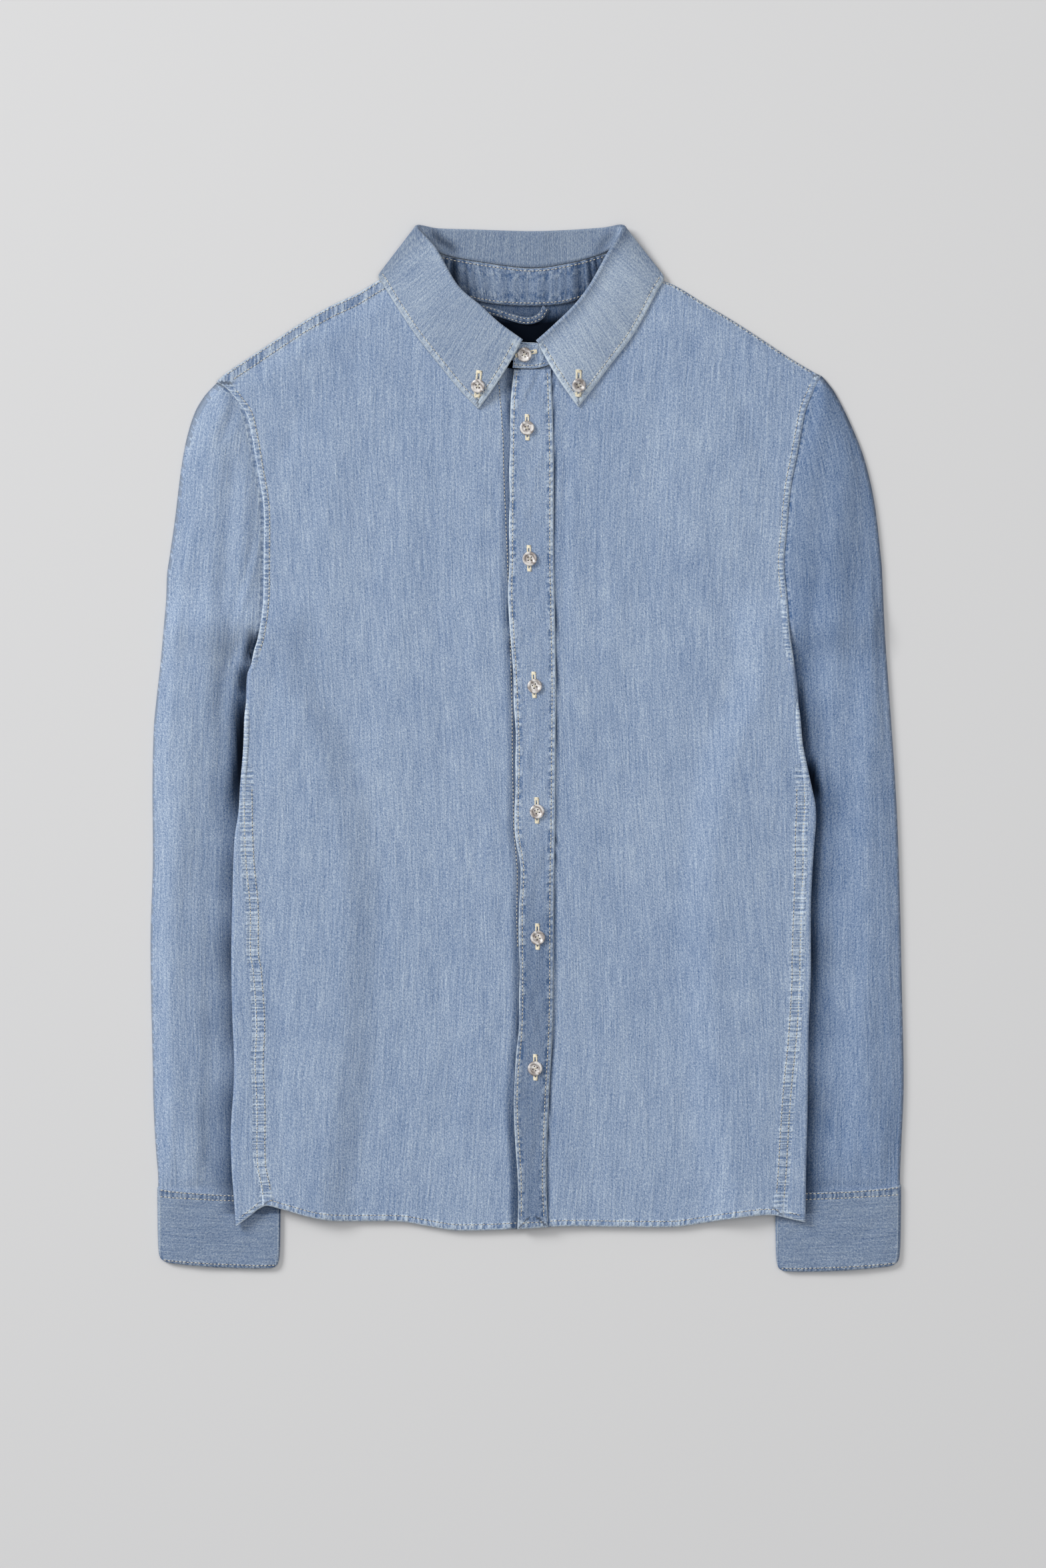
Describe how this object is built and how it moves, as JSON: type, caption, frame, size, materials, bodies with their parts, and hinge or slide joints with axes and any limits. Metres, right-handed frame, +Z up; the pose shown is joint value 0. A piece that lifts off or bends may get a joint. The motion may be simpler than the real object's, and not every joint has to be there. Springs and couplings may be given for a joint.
{
  "type": "chambray shirt, laid out flat",
  "caption": "Long-sleeved chambray shirt with a button-down collar, front placket and barrel cuffs, laid flat on its back with its sleeves at its sides.",
  "frame": {"origin": "on the surface it lies on, under the middle of the whole laid-out shirt", "axes": "+Z up from the surface, +Y from the hem to the collar, +X to the wearer's left"},
  "size_m": [0.5663, 0.7837, 0.0211],
  "materials": {
    "chambray": "washed chambray: blue warp, white weft, with slubs and pale worn seams",
    "shell": "pearly shell, softly glossy",
    "thread": "cream cotton sewing thread"
  },
  "bodies": {
    "root": {"back": "chambray", "yoke": "chambray", "front_right": "chambray", "front_left": "chambray", "placket": "chambray", "sleeve_right": "chambray", "sleeve_left": "chambray", "cuff_right": "chambray", "cuff_left": "chambray", "collar_stand": "chambray", "collar_leaf": "chambray", "locker_loop": "chambray", "front_button_1": "shell", "front_button_2": "shell", "front_button_3": "shell", "front_button_4": "shell", "front_button_5": "shell", "front_button_6": "shell", "stand_button": "shell", "point_button_right": "shell", "point_button_left": "shell"}
  },
  "joints": []
}
